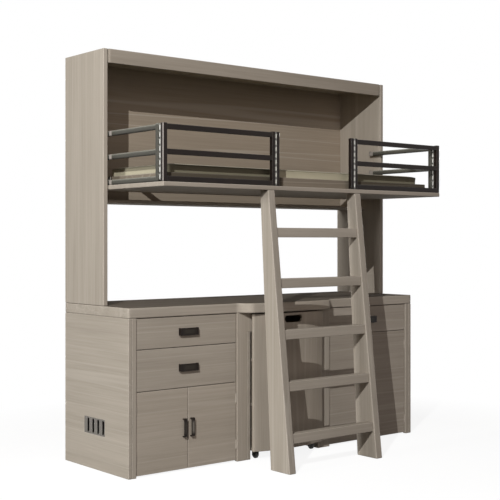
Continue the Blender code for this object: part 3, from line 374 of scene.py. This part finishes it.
def metal(slot, piece, seed, look):
    material, tree, shader, coordinates, place = startMaterial(slot + "_" + piece, seed)
    edges = groupNode(tree, "edges", {"Position": place, "Radius": look["edge"]})
    cloud = noise(tree, place, *metalLook["cloud"])
    speck = noise(tree, place, *metalLook["speck"])
    colour = mixed(tree, ranged(tree, cloud, *spread), *look["colours"])
    # pale edges: partly wear, partly a painted highlight along the rounded edges
    wearAndHighlight = scalar(tree, "MULTIPLY", edges["WearAndHighlight"], look["wearAndHighlightShare"])
    colour = mixed(tree, wearAndHighlight, colour, look["wornAndLit"])
    # a painted sheen in the middle of each pull's plate
    if "middle" in look:
        low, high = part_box(piece)
        middle = groupNode(tree, "middle", {"Position": coordinates, "Centre": (low + high) / 2,
                                            "Half": (high - low) / 2})["Middle"]
        middle = scalar(tree, "MULTIPLY", middle, plateLook["share"])
        colour = mixed(tree, middle, colour, look["middle"])
    # painted shade on faces that turn down, painted light on faces that turn up
    if "under" in look:
        upward = ranged(tree, axes(tree, edges["Normal"])[2], *look["turn"])
        colour = mixed(tree, upward, look["under"], colour)
    rough = ranged(tree, cloud, *spread, *look["rough"])
    if "bead" in look:
        # bead middles painted pale: a painted glint on each bead of the chains
        glint = mixed(tree, ranged(tree, speck, *spread), *beadLook["glint"])
        height = scalar(tree, "SUBTRACT", axes(tree, coordinates)[2], platformTop + beadLook["foot"])
        core = groupNode(tree, "beads", {"Height": height})["Core"]
        string = mixed(tree, core, beadLook["string"], glint)
        colour = mixed(tree, within(tree, coordinates, look["bead"]), colour, string)
    # pale boxes: a painted highlight on the corner posts' lit edges and the side bars' lit ends
    if "pale" in look:
        colour = mixed(tree, within(tree, coordinates, look["pale"]), colour, paintedHighlightBronze)
    normal = bumped(tree, speck, look["bump"], metalLook["depth"], edges["Normal"])
    feed(tree, shader, {"Base Color": colour, "Roughness": rough, "Normal": normal,
                        "Metallic": look["metallic"], "Specular IOR Level": look["specular"]})
    return material


bronzeLook = {
    "colours": ((0.011, 0.0075, 0.006), (0.018, 0.012, 0.0095)), "wornAndLit": (0.13, 0.11, 0.09),
    "wearAndHighlightShare": 0.6, "edge": 0.0015, "rough": (0.30, 0.44), "metallic": 0.0, "specular": 0.16, "bump": 0.12}
# the pale colour of the painted highlights
paintedHighlightBronze = (0.34, 0.31, 0.28)
frontRailLook = dict(bronzeLook, edge=0.003)
# the side rails: a paler, lit copy of the bronze as painted light, with painted shade where they turn down
litSideRailLook = dict(
    bronzeLook, colours=((0.27, 0.262, 0.22), (0.33, 0.322, 0.27)), wornAndLit=(0.36, 0.35, 0.31),
    wearAndHighlightShare=0.3, edge=0.012, under=(0.042, 0.040, 0.032), turn=(-0.06, 0.40))
steelLook = {
    "colours": ((0.40, 0.40, 0.38), (0.54, 0.54, 0.52)), "wornAndLit": (0.75, 0.75, 0.73),
    "wearAndHighlightShare": 0.4, "edge": 0.0015, "rough": (0.26, 0.40), "metallic": 1.0, "specular": 0.5, "bump": 0.06}
ventLook = {
    "colours": ((0.155, 0.142, 0.124), (0.185, 0.170, 0.149)), "wornAndLit": (0.34, 0.32, 0.29),
    "wearAndHighlightShare": 0.5, "edge": 0.0015, "rough": (0.42, 0.56), "metallic": 0.0, "specular": 0.3, "bump": 0.10}
rubberLook = {
    "colours": ((0.012, 0.012, 0.012), (0.026, 0.026, 0.025)), "wornAndLit": (0.09, 0.09, 0.085),
    "wearAndHighlightShare": 0.6, "edge": 0.0015, "rough": (0.44, 0.58), "metallic": 0.0, "specular": 0.4, "bump": 0.15}
# the mattress node is hidden under its cover
slotLooks = {"bronze": bronzeLook, "steel": steelLook, "vent_grey": ventLook,
             "black_plastic": rubberLook, "ticking": bronzeLook}

# painted sheen: how pale the middle of each pull's plate is painted, standing in for its reflection
pullSheenOf = {"left_inner_door_handle": (0.22, 0.20, 0.17), "left_outer_door_handle": (0.05, 0.042, 0.034)}
pullSheenElsewhere = (0.034, 0.028, 0.021)

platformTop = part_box("bed_platform")[1].z
railTop = 1.76


def railBox(across, deep, foot=0.0):
    return (across[0], deep[0], platformTop + foot), (across[1], deep[1], railTop)


# bead chains beside the rails' free posts and in the corners, with painted glints; then painted highlights
# on the corner posts' lit edges and the side bars' lit ends
beadBoxes = [
    railBox((-0.2930, -0.2815), (-0.40, -0.30), 0.001), railBox((0.2815, 0.2930), (-0.40, -0.30), 0.001),
    railBox((-1.03, 1.03), (-0.3260, -0.3180), 0.001)]
cornerHighlightBoxes = [railBox((-1.03, -0.9968), (-0.36, -0.348)), railBox((0.9968, 1.03), (-0.36, -0.348))]
barEndHighlightBoxes = [railBox((-1.03, 0), (0.110, 0.134)), railBox((0, 1.03), (0.172, 0.203))]

# grain across unless named here, fore and aft in the cabinets, upright in the stiles
grainOf = {
    "tower_side_left": "z", "tower_side_right": "z", "ladder_stringer_left": "z",
    "ladder_stringer_right": "z", "pedestal_front": "z",
    "left_cabinet_inside": "x", "right_cabinet_inside": "x"}
# per-piece tints of the laminate: partly each board's own tone, partly painted light and shade, lighter
# where a piece gets more light and darker where it gets less
toneAndPaintedLightOf = {
    "tower_back": (0.79, 0.745, 0.69), "tower_fascia": (0.86, 0.85, 0.84),
    "pedestal_front": (0.93, 0.92, 0.91), "left_inner_stile": (1.10, 1.09, 1.08),
    "left_inner_door": (1.07, 1.06, 1.05), "left_outer_door": (1.05, 1.04, 1.03),
    "right_drawer_front": (0.94, 0.93, 0.93), "right_inner_door": (0.94, 0.93, 0.93),
    "right_outer_door": (0.94, 0.93, 0.93), "ladder_stringer_left": (0.91, 0.91, 0.91),
    "ladder_stringer_right": (0.97, 0.97, 0.97), "bed_platform": (0.96, 0.95, 0.95),
    "mattress_frame": (0.52, 0.49, 0.45)}
slotShades = {"laminate": (1, 1, 1), "laminate_inside": (0.90, 0.89, 0.89)}


def dressNode(name, seed):
    slot = nodes[name].data.materials[0].name.split(".")[0]
    if slot in slotShades:
        along = grainOf.get(name, "y" if "cabinet" in name else "z" if "stile" in name else "x")
        return laminate(name, along, seed, toneAndPaintedLightOf.get(name, slotShades[slot]))
    look = slotLooks[slot]
    if name.endswith("handle"):
        look = dict(look, middle=pullSheenOf.get(name, pullSheenElsewhere))
    if name.endswith("front_rail"):
        look = dict(frontRailLook, bead=beadBoxes, pale=cornerHighlightBoxes)
    if name.endswith("side_rail"):
        look = dict(litSideRailLook, bead=beadBoxes, pale=barEndHighlightBoxes)
    return metal(slot, name, seed, look)


for seed, name in enumerate(sorted(nodes)):
    dressed = dressNode(name, seed + 1)
    nodes[name].data.materials.clear()
    nodes[name].data.materials.append(dressed)
print("materials given to the nodes")

# mattress
mattressLook = {
    "cell": 0.010, "start": (0.999, 0.999, 0.955), "pressure": 4.0, "quality": 4, "steps": 20,
    "most": 0.003, "least": 0.001, "rise": 0.012, "fill": 0.85,
    "colours": ((0.47, 0.43, 0.305), (0.55, 0.505, 0.365)), "seed": 3}
pipingLook = {
    "corner": 0.014, "radius": 0.0026, "points": 220, "below": 0.009,
    "colours": ((0.30, 0.275, 0.19), (0.37, 0.34, 0.24)), "seed": 5}
tickingLook = {
    "cloud": (4, 0.6, 5.0), "dark": 0.72, "gap": (0.45, 0.15, 0.0, 0.45),
    "slub": (0.55, 0.75, 0.0, 0.35), "slubColour": (0.52, 0.48, 0.36), "rough": (0.82, 0.95),
    "specular": 0.15, "sheen": 0.12, "bump": 0.25, "depth": 0.0004}


def chooseOnly(item):
    bpy.ops.object.select_all(action="DESELECT")
    item.select_set(True)
    bpy.context.view_layer.objects.active = item


def pointsOf(item):
    spots = np.empty(len(item.data.vertices) * 3)
    item.data.vertices.foreach_get("co", spots)
    return spots.reshape(-1, 3)


def setPoints(item, spots):
    item.data.vertices.foreach_set("co", np.ascontiguousarray(spots).ravel())
    item.data.update()


def ticking(name, seed, colours):
    material, tree, shader, coordinates, place = startMaterial("ticking_" + name, seed)
    look = tickingLook
    weave = groupNode(tree, "weave", {"Position": coordinates})
    cloud = noise(tree, place, *look["cloud"])
    colour = mixed(tree, ranged(tree, cloud, *spread), *colours)
    dark = tuple(look["dark"] * part for part in colours[0])
    colour = mixed(tree, ranged(tree, weave["Height"], *look["gap"]), colour, dark)
    colour = mixed(tree, ranged(tree, weave["Slub"], *look["slub"]), colour, look["slubColour"])
    # painted shadow of the guard rails on the cover's front
    colour = tinted(tree, within(tree, coordinates, railShadowPaint["boxes"]), colour, railShadowPaint["tone"])
    rough = ranged(tree, weave["Slub"], *spread, *look["rough"])
    facing = addNode(tree, "ShaderNodeNewGeometry").outputs["Normal"]
    normal = bumped(tree, weave["Height"], look["bump"], look["depth"], facing)
    feed(tree, shader, {"Base Color": colour, "Roughness": rough, "Normal": normal,
                        "Specular IOR Level": look["specular"], "Sheen Weight": look["sheen"]})
    return material


def makeMattress():
    low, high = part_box("mattress")
    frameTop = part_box("mattress_frame")[1].z
    cover = bpy.data.objects.new("mattress_cover", nodes["mattress"].data.copy())
    bpy.context.scene.collection.objects.link(cover)
    chooseOnly(cover)
    cover.data.materials.clear()
    remesh = cover.modifiers.new("remesh", "REMESH")
    remesh.mode = "VOXEL"
    remesh.voxel_size = mattressLook["cell"]
    bpy.ops.object.modifier_apply(modifier="remesh")
    centre = np.array((low + high) / 2)
    rest = pointsOf(cover)
    centre[2] = low.z
    rest = centre + (rest - centre) * np.array(mattressLook["start"])
    setPoints(cover, rest)
    cloth = cover.modifiers.new("cloth", "CLOTH")
    cloth.settings.use_pressure = True
    cloth.settings.uniform_pressure_force = mattressLook["pressure"]
    cloth.settings.effector_weights.gravity = 0
    cloth.settings.quality = mattressLook["quality"]
    for step in range(mattressLook["steps"]):
        bpy.context.scene.frame_set(step + 1)
    bpy.ops.object.modifier_apply(modifier="cloth")
    bpy.context.scene.frame_set(1)
    # the cloth bulges less where the frame holds it
    moved = pointsOf(cover) - rest
    rise = np.clip((rest[:, 2] - frameTop) / mattressLook["rise"], 0, 1)
    most = mattressLook["least"] + (mattressLook["most"] - mattressLook["least"]) * rise
    length = np.linalg.norm(moved, axis=1) + 1e-9
    setPoints(cover, rest + moved * np.minimum(1.0, most / length)[:, None])
    soften = cover.modifiers.new("soften", "SUBSURF")
    soften.levels = 1
    bpy.ops.object.modifier_apply(modifier="soften")
    bpy.ops.object.shade_smooth()
    cover.data.materials.append(ticking("cover", mattressLook["seed"], mattressLook["colours"]))
    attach(cover, "bed")
    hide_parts("mattress")
    return cover


# points spaced evenly round a box with rounded corners, seen from above
def cornerPath(low, high, radius, count):
    sides = (high.x - low.x - 2 * radius, high.y - low.y - 2 * radius)
    whole = 2 * sum(sides) + 2 * math.pi * radius
    corners = [(high.x - radius, high.y - radius), (low.x + radius, high.y - radius),
               (low.x + radius, low.y + radius), (high.x - radius, low.y + radius)]
    spots = []
    for k in range(count):
        run = whole * k / count
        for turn, (x, y) in enumerate(corners):
            quarter = math.pi / 2 * radius
            side = sides[turn % 2]
            if run < quarter:
                angle = turn * math.pi / 2 + run / radius
                spots.append((x + radius * math.cos(angle), y + radius * math.sin(angle)))
                break
            run -= quarter
            if run < side:
                angle = (turn + 1) * math.pi / 2
                x += radius * math.cos(angle) - run * math.sin(angle)
                y += radius * math.sin(angle) + run * math.cos(angle)
                spots.append((x, y))
                break
            run -= side
    return spots


# a cord sewn round the cover just below its top
def makePiping(cover, label):
    low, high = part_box("mattress")
    spots = cornerPath(low, high, pipingLook["corner"], pipingLook["points"])
    surface = BVHTree.FromObject(cover, bpy.context.evaluated_depsgraph_get())
    bpy.ops.mesh.primitive_circle_add(vertices=len(spots), radius=1)
    seam = bpy.context.object
    seam.name = label
    level = high.z - pipingLook["below"]
    placed = [tuple(surface.find_nearest(Vector((x, y, level)))[0]) for x, y in spots]
    setPoints(seam, np.array(placed))
    bpy.ops.object.convert(target="CURVE")
    seam.data.bevel_depth = pipingLook["radius"]
    seam.data.bevel_resolution = 2
    bpy.ops.object.convert(target="MESH")
    bpy.ops.object.shade_smooth()
    seam.data.materials.clear()
    seam.data.materials.append(ticking(label, pipingLook["seed"], pipingLook["colours"]))
    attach(seam, "bed")


makePiping(makeMattress(), "mattress_piping")
print("mattress made")

# floor, light and camera; each sun is its way, strength, angle and tint
stageLook = {
    "floor": 14.0, "near": 1.5, "far": 2.4, "paper": (0.22, 0.24), "speck": (2, 0.5, 60.0), "glow": 0.88,
    "ambient": 0.05, "tint": (1.0, 0.91, 0.83),
    "lamp": (-5.16, -4.0, 4.26), "power": 1325.0, "radius": 0.10,
    "suns": [
        ((1.0, -0.03, -0.07), 1.38, 8.0, (1, 1, 1)),
        ((0.25, 1.0, -0.2), 0.50, 50.0, (1, 0.88, 0.86)),
        ((0.0, -1.0, 0.0), 1.7, 6.0, (1, 0.97, 0.94)),
        ((-1.0, -0.35, 0.0), 1.7, 6.0, (1, 0.97, 0.94))]}


def seenRays(tree):
    path = addNode(tree, "ShaderNodeLightPath").outputs
    seen = scalar(tree, "MAXIMUM", path["Is Camera Ray"], path["Is Glossy Ray"])
    return scalar(tree, "MAXIMUM", seen, path["Is Transmission Ray"])


# pale paper that keeps the shadow near the object and fades to white further off
def makeFloor():
    bpy.ops.mesh.primitive_plane_add(size=stageLook["floor"], location=(0, 0, 0))
    floor = bpy.context.object
    floor.name = "floor"
    material = bpy.data.materials.new("floor_paper")
    material.use_nodes = True
    tree = material.node_tree
    tree.nodes.clear()
    place = addNode(tree, "ShaderNodeTexCoord").outputs["Object"]
    speck = ranged(tree, noise(tree, place, *stageLook["speck"]), *spread, *stageLook["paper"])
    grey = addNode(tree, "ShaderNodeCombineColor", {0: speck, 1: speck, 2: speck}).outputs[0]
    matte = addNode(tree, "ShaderNodeBsdfDiffuse", {"Color": grey}).outputs[0]
    seen = seenRays(tree)
    strength = scalar(tree, "MULTIPLY", seen, stageLook["glow"])
    glow = addNode(tree, "ShaderNodeEmission", {"Color": (1, 1, 1, 1), "Strength": strength}).outputs[0]
    near = addNode(tree, "ShaderNodeAddShader", {0: matte, 1: glow}).outputs[0]
    white = addNode(tree, "ShaderNodeEmission", {"Color": (1, 1, 1, 1), "Strength": seen}).outputs[0]
    reach = vectorial(tree, "LENGTH", place)["Value"]
    fade = ranged(tree, reach, stageLook["near"], stageLook["far"])
    both = addNode(tree, "ShaderNodeMixShader", {0: fade, 1: near, 2: white}).outputs[0]
    addNode(tree, "ShaderNodeOutputMaterial", {"Surface": both})
    floor.data.materials.append(material)


def makeLight():
    bpy.ops.object.light_add(type="POINT", radius=stageLook["radius"], location=stageLook["lamp"])
    bpy.context.object.data.energy = stageLook["power"]
    for way, strength, angle, tint in stageLook["suns"]:
        turn = Vector(way).to_track_quat("-Z", "Y").to_euler()
        bpy.ops.object.light_add(type="SUN", rotation=turn)
        sun = bpy.context.object.data
        sun.energy = strength
        sun.angle = math.radians(angle)
        sun.color = tint
    world = bpy.data.worlds.new("studio")
    bpy.context.scene.world = world
    world.use_nodes = True
    tree = world.node_tree
    tree.nodes.clear()
    soft = addNode(tree, "ShaderNodeBackground",
                   {"Color": (*stageLook["tint"], 1), "Strength": stageLook["ambient"]}).outputs[0]
    white = addNode(tree, "ShaderNodeBackground", {"Color": (1, 1, 1, 1), "Strength": 1.0}).outputs[0]
    both = addNode(tree, "ShaderNodeMixShader", {0: seenRays(tree), 1: soft, 2: white}).outputs[0]
    addNode(tree, "ShaderNodeOutputWorld", {"Surface": both})


cameraLook = {
    "place": (-3.9233, -4.5673, 1.1823), "turn": (90, 0, -39.409), "sensor": 36,
    "lens": 77.05, "rise": -0.0185}


def makeCamera():
    turn = tuple(math.radians(angle) for angle in cameraLook["turn"])
    bpy.ops.object.camera_add(location=cameraLook["place"], rotation=turn)
    camera = bpy.context.object
    camera.data.sensor_width = cameraLook["sensor"]
    camera.data.lens = cameraLook["lens"]
    camera.data.shift_y = cameraLook["rise"]
    bpy.context.scene.camera = camera


makeFloor()
makeLight()
makeCamera()
bpy.context.scene.view_settings.view_transform = "Standard"
print("stage, light and camera made")
